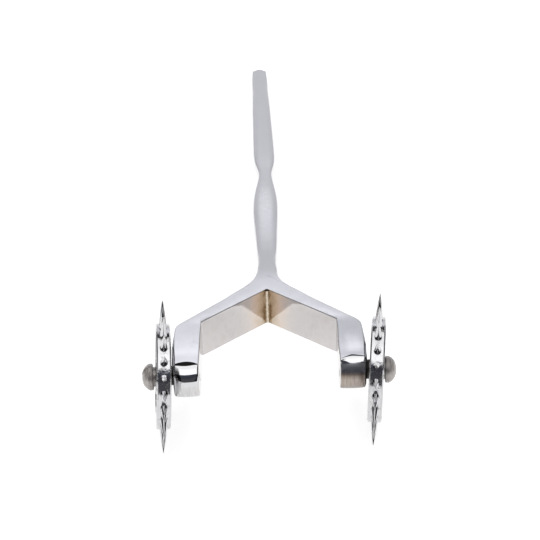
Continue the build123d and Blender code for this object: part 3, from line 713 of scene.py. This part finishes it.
    # make the side points follow the nose curve
    path = [tc[-1]] + rest + [lc[-1]]
    seg = [0.0]
    for p, q in zip(path, path[1:]):
        seg.append(seg[-1] + math.hypot(q[0] - p[0], q[1] - p[1]))
    rows = [top]
    for k in range(1, NZ):
        d = seg[-1] * k / NZ
        i = max(i for i in range(len(seg)) if seg[i] <= d)
        f = (d - seg[i]) / (seg[i + 1] - seg[i])
        p = [path[i][q] * (1 - f) + path[i + 1][q] * f for q in range(4)]
        l = math.hypot(p[2], p[3])
        n1, n2 = p[2] / l, p[3] / l
        x1 = leg_out(p[0])
        x0 = leg_in(s, p[0])
        w = x1 - x0
        row = []
        for c, (dd, e) in enumerate(edge_row(w, E_R, N_MID, E_R + 0.26)):
            q = 2 * dd / w - 1
            e2 = e + nose_crown(s, abs(n2)) * q * q
            x = x0 + dd
            a = 0.05 * polish(x, p[0], p[1], 1.0)
            v = (s * x, p[0] - n1 * (e2 - a), p[1] - n2 * (e2 - a))
            if c == 0:
                verts[i_side[k - 1]] = v
                row.append(i_side[k - 1])
            elif c == len(edge_row(w, E_R, N_MID, E_R + 0.26)) - 1:
                verts[o_side[k - 1]] = v
                row.append(o_side[k - 1])
            else:
                verts.append(v)
                row.append(len(verts) - 1)
        rows.append(row)
    rows.append(bot)
    for a, b in zip(rows, rows[1:]):
        quads(faces, a, b, flip=(s < 0))
    # flat cap where the two bars meet
    first = loops[0]
    cap = [first[1]] + [[first[4][k]] + [None] * (len(first[1]) - 2) + [first[3][k]] for k in range(NZ - 1)] + [first[2]]
    for k in range(1, NZ):
        for c in range(1, len(first[1]) - 1):
            a, b = Vector(verts[first[1][c]]), Vector(verts[first[2][c]])
            verts.append(tuple(a.lerp(b, k / NZ)))
            cap[k][c] = len(verts) - 1
    for a, b in zip(cap, cap[1:]):
        quads(faces, a, b, flip=(s > 0))
    return verts, faces


def to_mesh(name, verts, faces, angle=38.0):
    me = bpy.data.meshes.new(name)
    me.from_pydata([tuple(TOOL @ Vector(v)) for v in verts], [], faces)
    bm = bmesh.new()
    bm.from_mesh(me)
    bmesh.ops.remove_doubles(bm, verts=bm.verts, dist=1e-7)
    bmesh.ops.dissolve_degenerate(bm, edges=bm.edges, dist=1e-8)
    bmesh.ops.recalc_face_normals(bm, faces=bm.faces)
    if bm.calc_volume(signed=True) < 0:
        bmesh.ops.reverse_faces(bm, faces=bm.faces)
    open_edges = [e for e in bm.edges if len(e.link_faces) != 2]
    print(name, len(bm.verts), "open edges", len(open_edges))
    bm.to_mesh(me)
    bm.free()
    me.shade_smooth()
    me.set_sharp_from_angle(angle=math.radians(angle))
    me.update()
    return me


def make_handle():
    """neck and handle: starts on the outer line of the fork, spreads out of its corner, runs to the rounded end"""
    verts, faces = [], []

    def put(x, y, z):
        verts.append((x, y, z))
        return len(verts) - 1

    def top_z(y):
        base = hermite(HANDLE, y, 2) if y > 36 else 3.08 + (36.0 - y) * 0.030
        t = smooth((y - 28.0) / 16.0)
        return bar_h(min(y, 31.0)) * (1 - t) + base * t

    def corner(y):
        """how far the bevel reaches in from the side and down from the top"""
        t = smooth((y - 27.0) / 16.0)
        hw = hermite(HANDLE, y, 1) if y > 36 else hermite(NECK, y, 1)
        ht = top_z(y)
        bx = 0.26 * (1 - t) + 0.44 * hw * t
        bz = 0.26 * (1 - t) + 0.46 * bx * t
        return bx, bz

    def bevel(y, hw, ht):
        """outline of one quarter: from the top's edge out and down to the side, with softened corners"""
        bx, bz = corner(y)
        bx, bz = min(bx, 0.62 * hw), min(bz, 0.45 * ht)
        a, c, b = (hw - bx, ht), (hw, ht - bz), (hw, 0.0)
        t = smooth((y - 27.0) / 16.0)
        q1 = 0.30 * bx * (1 - t) + 0.24 * t
        pts = []
        # soft corner at the top of the bevel, then the bevel, then the soft corner at the side
        k1 = min(0.34 * t + 0.10, bx * 0.9)
        d = math.hypot(bx, bz)
        ux, uz = bx / d, -bz / d
        r = min(0.55, 0.36 * d, 0.55 * (ht - bz)) * (0.35 + 0.65 * t)
        P0, P1 = (a[0] - r, a[1]), (a[0] + ux * r, a[1] + uz * r)
        for k in range(5):
            u = k / 4
            pts.append((P0[0] * (1 - u) ** 2 + a[0] * 2 * u * (1 - u) + P1[0] * u * u,
                        P0[1] * (1 - u) ** 2 + a[1] * 2 * u * (1 - u) + P1[1] * u * u))
        Q0, Q1 = (c[0] - ux * r, c[1] - uz * r), (c[0], c[1] - r)
        pts.append(((P1[0] + Q0[0]) / 2, (P1[1] + Q0[1]) / 2))
        for k in range(5):
            u = k / 4
            pts.append((Q0[0] * (1 - u) ** 2 + c[0] * 2 * u * (1 - u) + Q1[0] * u * u,
                        Q0[1] * (1 - u) ** 2 + c[1] * 2 * u * (1 - u) + Q1[1] * u * u))
        return pts

    NT, NS = 8, 6     # columns over half the top, rows down half the side
    # ------- rings from y=36 back
    ys = list(np.arange(37.2, 174.6, 1.2))
    R = 2.28
    tail_y0 = 175.9
    ring_spec = [(y, hermite(HANDLE, y, 1), top_z(y)) for y in [36.0] + ys]
    w_end = hermite(HANDLE, tail_y0, 1)
    for a in (0, 12, 24, 36, 48, 58, 67, 75, 82, 87):
        r = math.radians(a)
        y = tail_y0 + 2.3 * math.sin(r)
        ring_spec.append((y, max(w_end * math.cos(r), 0.05), top_z(min(y, 178.0)) * (1 - 0.30 * smooth((a - 40) / 50.0))))

    def ring(y, hw, ht):
        """closed outline: the far end is dressed down from above"""
        cx = hermite(BOW, y, 1)
        up, n_q = quarter_of(y, hw, ht * (1 - 0.72 * smooth((y - 136.0) / 43.0)))
        dn, _ = quarter_of(y, hw, ht)
        right_dn = up + [(x, -z) for x, z in reversed(dn[:-1])]       # top middle -> bottom middle, x>=0
        left_up = [(-x, z) for x, z in reversed(right_dn[1:-1])]
        loop = right_dn + left_up
        return [put(cx + x, y, z) for x, z in loop], n_q

    def quarter_of(y, hw, ht):
        q = bevel(min(y, 150.0), hw, ht) if hw > 0.9 else None
        if q is None:
            bx, bz = 0.62 * hw, 0.45 * ht
            q = [(hw - bx + bx * math.sin(math.radians(9 * k)), ht - bz * (1 - math.cos(math.radians(9 * k)))) for k in range(11)]
        half_top = [(q[0][0] * k / NT, ht + 0.0) for k in range(NT)]
        side = [(q[-1][0], q[-1][1] * (1 - k / NS)) for k in range(1, NS + 1)]
        quarter = half_top + q + side          # from the middle of the top to the middle of the side
        crown = 0.035 * smooth((y - 40) / 20)
        def zc(x, z):
            return z - crown * (x / max(hw, 0.3)) ** 2 if z > 0.5 * ht else z
        quarter = [(x, zc(x, z)) for x, z in quarter]
        return quarter, len(quarter)

    rings = [ring(*r) for r in ring_spec]
    loops = [r[0] for r in rings]
    nq = rings[0][1]
    for a, b in zip(loops, loops[1:]):
        quads(faces, a + [a[0]], b + [b[0]])
    mid = put(hermite(BOW, 178.2, 1), 178.2, 0.0)
    last = loops[-1]
    for k in range(len(last)):
        faces.append((last[k], last[(k + 1) % len(last)], mid))
    # ------- neck: columns fan out from the first ring to the outer line of the fork
    first = loops[0]
    foot_x = 6.35
    NV = 18

    def foot(u):
        x = foot_x * u
        return x, OUT_APEX_Y - SLOPE * x

    fil = []
    for k in range(NV + 1):
        t = k / NV
        t = t ** 1.15
        y = 23.17 + (36.0 - 23.17) * t
        hw = hermite(NECK, y, 1) if k else foot_x
        fil.append((hw + 0.0, y))

    def neck_quarter(sx, sz):
        """grid[v][c] for one side and one half: v from the fork (0) to the first ring, c from middle of the top to middle of the side"""
        grid = []
        for v in range(NV + 1):
            t = v / NV
            fx, fy = fil[v]
            # outward direction of the fillet in plan
            i0, i1 = max(v - 1, 0), min(v + 1, NV)
            tx, ty = fil[i1][0] - fil[i0][0], fil[i1][1] - fil[i0][1]
            l = math.hypot(tx, ty)
            nx, ny = ty / l, -tx / l
            if v == NV:
                nx, ny = 1.0, 0.0
            row = []
            zt = top_z(fy)
            q = bevel(fy, 10.0, zt)          # offsets measured in from 10.0
            in0 = 10.0 - q[0][0]
            ex, ey = fx - nx * in0, fy - ny * in0
            ax0, ay0 = foot(1.0)
            mx, my = 0.0, OUT_APEX_Y + (36.0 - OUT_APEX_Y) * t
            for c in range(NT):
                u = c / NT
                # coons patch in plan
                A = foot(u * (ax0 - in0 * 0.0) / ax0)
                ex0, ey0 = fil[0][0], fil[0][1]
                n0x, n0y = fil[1][1] - fil[0][1], -(fil[1][0] - fil[0][0])
                l0 = math.hypot(n0x, n0y)
                q0 = 10.0 - bevel(fil[0][1], 10.0, top_z(fil[0][1]))[0][0]
                e0 = (ex0 - n0x / l0 * q0, ey0 - n0y / l0 * q0)
                # keep the foot of the edge column on the outer line of the fork
                e0 = (e0[0], OUT_APEX_Y - SLOPE * e0[0])
                if v == 0:
                    ex, ey = e0
                A = (e0[0] * u, OUT_APEX_Y - SLOPE * e0[0] * u)
                qn = 10.0 - bevel(36.0, 10.0, top_z(36.0))[0][0]
                e1 = (fil[NV][0] - qn, 36.0)
                B = (e1[0] * u, 36.0)
                M = (0.0, OUT_APEX_Y + (36.0 - OUT_APEX_Y) * t)
                F = (ex, ey)
                x = (1 - t) * A[0] + t * B[0] + (1 - u) * M[0] + u * F[0] - ((1 - u) * (1 - t) * 0.0 + u * (1 - t) * e0[0] + u * t * e1[0])
                y = (1 - t) * A[1] + t * B[1] + (1 - u) * M[1] + u * F[1] - ((1 - u) * (1 - t) * OUT_APEX_Y + u * (1 - t) * e0[1] + (1 - u) * t * 36.0 + u * t * 36.0)
                row.append((x, y, top_z(y)))
            for x, z in q:
                o = 10.0 - x
                px, py = fx - nx * o, fy - ny * o
                if v == 0:
                    py = OUT_APEX_Y - SLOPE * px
                row.append((px, py, z))
            zl = q[-1][1]
            for k in range(1, NS + 1):
                py = fy
                px = fx
                if v == 0:
                    py = OUT_APEX_Y - SLOPE * px
                row.append((px, py, zl * (1 - k / NS)))
            grid.append([put(hermite(BOW, p[1], 1) * smooth((p[1] - 26.0) / 8.0) + sx * p[0], p[1], sz * p[2]) for p in row])
        return grid

    g = {}
    for sx in (1, -1):
        for sz in (1, -1):
            g[sx, sz] = neck_quarter(sx, sz)
    for (sx, sz), grid in g.items():
        for a, b in zip(grid, grid[1:]):
            quads(faces, a, b, flip=(sx * sz < 0))
    # hidden face against the fork
    for sx in (1, -1):
        up, dn = g[sx, 1][0], g[sx, -1][0]
        top_edge = up[:NT + 11]
        low_edge = dn[:NT + 11]
        n_side = NS
        prev = top_edge
        side_up = up[NT + 11 - 1:]
        side_dn = dn[NT + 11 - 1:]
        # one flat polygon is enough: it lies inside the metal
        poly = top_edge + up[NT + 11:] + dn[NT + 11:-1][::-1] + low_edge[::-1]
        faces.append(tuple(poly if sx > 0 else poly[::-1]))
    return verts, faces


arm_mesh = {}
for side, s in (("left", -1), ("right", 1)):
    v, f = make_arm(s)
    arm_mesh[side] = to_mesh(side + "_fork_bar", v, f)
v, f = make_handle()
handle_mesh = to_mesh("shaped_handle", v, f)


def paint_inner(me):
    """second material on the ground inner faces"""
    back = TOOL.inverted()
    for p in me.polygons:
        c = back @ Vector(p.center)
        n = (back.to_3x3() @ Vector(p.normal)).normalized()
        inside_v = c.y - (IN_APEX_Y - abs(c.x) * (IN_APEX_Y - IN_CORNER_Y) / ARM_IN_X)
        on_v = abs(inside_v) < 0.06 and n.y < -0.5 and abs(c.x) < ARM_IN_X
        on_leg = abs(abs(c.x) - leg_in(-1 if c.x < 0 else 1, c.y)) < 0.07 and n.x * c.x < 0 and abs(n.x) > 0.8
        if on_v or on_leg:
            p.material_index = 1
        if abs(c.x) > 17.3 and abs(n.x) > 0.93 and n.x * c.x > 0 and c.y < BULGE[1]:
            p.material_index = 2


LEFT = link("left_fork_bar", arm_mesh["left"], "tool", (M_BAR, M_INNER, M_SEAT), ("left_arm",))
RIGHT = link("right_fork_bar", arm_mesh["right"], "tool", (M_BAR, M_INNER, M_SEAT), ("right_arm",))
paint_inner(LEFT.data)
paint_inner(RIGHT.data)
GRIP = link("shaped_handle", handle_mesh, "tool", (M_BAR,), ("handle", "neck_weld"))


# ------------------------------------------------------------------ camera
F_PX, CAM_D, CAM_E, CAM_YAW, CAM_ROLL, CAM_TX, CAM_TY = 1034.39, 191.015, 28.798, 0.428, -1.630, 0.588, 18.871


def make_camera():
    e, yaw, roll = math.radians(CAM_E), math.radians(CAM_YAW), math.radians(CAM_ROLL)
    fwd = Vector((0, math.cos(e), -math.sin(e)))
    right = Vector((1, 0, 0))
    up = Vector((0, math.sin(e), math.cos(e)))
    c, s = math.cos(roll), math.sin(roll)
    r2 = right * c + up * s
    u2 = right * -s + up * c
    pos = fwd * -CAM_D + right * CAM_TX + up * CAM_TY
    back = Matrix.Rotation(-yaw, 3, "Z")
    pos, r2, u2, fwd = back @ pos, back @ r2, back @ u2, back @ fwd
    rot = ROT.to_3x3()
    wr, wu, wf = rot @ r2, rot @ u2, rot @ fwd
    loc = TOOL @ pos
    cam = bpy.data.cameras.new("camera")
    o = bpy.data.objects.new("camera", cam)
    bpy.context.scene.collection.objects.link(o)
    m = Matrix((wr, wu, -wf)).transposed().to_4x4()
    m.translation = loc
    o.matrix_world = m
    cam.sensor_width = 36.0
    cam.lens = F_PX / 540.0 * 36.0
    cam.clip_start = 0.005
    cam.clip_end = 20.0
    cam.dof.use_dof = False
    bpy.context.scene.camera = o
    return o


CAM = make_camera()

for n, o in frame["nodes"].items():
    o.data.materials.clear()
    o.data.materials.append({"left_screw": M_SCREW, "right_screw": M_SCREW, "left_pins": M_PIN, "right_pins": M_PIN,
                             "left_wheel_disc": M_WHEEL, "right_wheel_disc": M_WHEEL, "inner_weld": M_WELD}.get(n, M_BAR))

# ------------------------------------------------------------------ floor and light
me = bpy.data.meshes.new("floor")
b = bmesh.new()
bmesh.ops.create_grid(b, x_segments=2, y_segments=2, size=3.0)
b.to_mesh(me)
b.free()
floor = bpy.data.objects.new("floor", me)
bpy.context.scene.collection.objects.link(floor)
floor.location = (0, 0, -0.0002)
fm, fnt, fbs = new_mat("floor")
fbs.inputs["Base Color"].default_value = (0.55, 0.55, 0.55, 1)
fbs.inputs["Roughness"].default_value = 0.9
fbs.inputs["Specular IOR Level"].default_value = 0.0
fbs.inputs["Emission Color"].default_value = (1.0, 1.0, 1.0, 1)
fbs.inputs["Emission Strength"].default_value = 0.80
me.materials.append(fm)


def world():
    """a softbox overhead, a pale backdrop behind, the dark side of the room in front and at both sides"""
    w = bpy.data.worlds.new("studio")
    bpy.context.scene.world = w
    w.use_nodes = True
    nt = w.node_tree
    nt.nodes.clear()
    out = nt.nodes.new("ShaderNodeOutputWorld")
    bg = nt.nodes.new("ShaderNodeBackground")
    nt.links.new(bg.outputs[0], out.inputs[0])
    tc = nt.nodes.new("ShaderNodeTexCoord")
    x, y, z = sep(nt, tc.outputs["Generated"])[:3]
    # angle about X: 0 toward the front, 90 straight up, 180 straight back
    deg = math_n(nt, "MULTIPLY", math_n(nt, "ARCTAN2", z, math_n(nt, "MULTIPLY", y, -1.0)), 180.0 / math.pi)
    t = maprange(nt, deg, 0.0, 180.0, 0.0, 1.0)
    g = lambda v: (v, v, v)
    lav = lambda v: (v * 0.985, v * 0.99, v * 1.05)
    a = lambda d: d / 180.0
    band = ramp(nt, t, [
        (0.0, (0.10, 0.10, 0.11)), (a(18), (0.085, 0.085, 0.095)), (a(30), (0.055, 0.056, 0.066)), (a(50.5), (0.070, 0.077, 0.105)),
        (a(52.5), g(1.58)), (a(84), g(1.58)), (a(103), g(1.32)), (a(125), g(1.38)), (a(127.5), g(0.02)), (a(145.2), g(0.02)), (a(147.0), lav(1.42)),
        (a(149), lav(1.30)), (a(151), lav(1.14)), (a(153), lav(1.0)), (a(156), lav(0.90)), (a(160), lav(0.80)),
        (a(166), lav(0.72)), (1.0, lav(0.70))])
    # both sides fall away into the dark room, the overhead softbox reaches further out than the backdrop
    ax = math_n(nt, "ABSOLUTE", x)
    side = ramp(nt, ax, [(0.0, g(1.0)), (0.28, g(1.0)), (0.46, g(0.88)), (0.58, g(0.50)), (0.72, g(0.22)), (0.84, g(0.10)), (0.93, g(0.30)), (1.0, g(0.40))])
    # the softbox itself is only so wide
    near = ramp(nt, ax, [(0.0, g(1.0)), (0.31, g(1.0)), (0.40, g(0.05)), (0.80, g(0.03)), (0.90, g(0.22)), (1.0, g(0.30))])
    side = mix_col(nt, maprange(nt, deg, 128.0, 132.0, 0.0, 1.0), near, side)
    col = mix_col(nt, 1.0, band, side, "MULTIPLY")
    nt.links.new(col, bg.inputs[0])
    bg.inputs[1].default_value = 1.0
    # past the edge of the table the plain pale wall is seen
    wall = nt.nodes.new("ShaderNodeBackground")
    wall.inputs[0].default_value = (1.0, 1.0, 1.0, 1)
    wall.inputs[1].default_value = 1.0
    lp = nt.nodes.new("ShaderNodeLightPath")
    mix = nt.nodes.new("ShaderNodeMixShader")
    nt.links.new(lp.outputs["Is Camera Ray"], mix.inputs[0])
    nt.links.new(bg.outputs[0], mix.inputs[1])
    nt.links.new(wall.outputs[0], mix.inputs[2])
    nt.links.new(mix.outputs[0], out.inputs[0])
    return w


world()
sc = bpy.context.scene
sc.view_settings.view_transform = "Standard"
sc.view_settings.look = "None"
sc.view_settings.exposure = 0.0
sc.view_settings.gamma = 1.0


def area(name, loc, target, size, power, color=(1, 1, 1), glossy=False):
    l = bpy.data.lights.new(name, "AREA")
    l.shape = "RECTANGLE"
    l.size, l.size_y = size
    l.energy = power
    l.color = color
    o = bpy.data.objects.new(name, l)
    sc.collection.objects.link(o)
    o.location = loc
    d = Vector(target) - Vector(loc)
    o.rotation_euler = d.to_track_quat("-Z", "Y").to_euler()
    o.visible_glossy = glossy
    return o


area("key_top", (0.0, -0.1, 0.9), (0, -0.05, 0), (1.2, 1.2), 1.5)
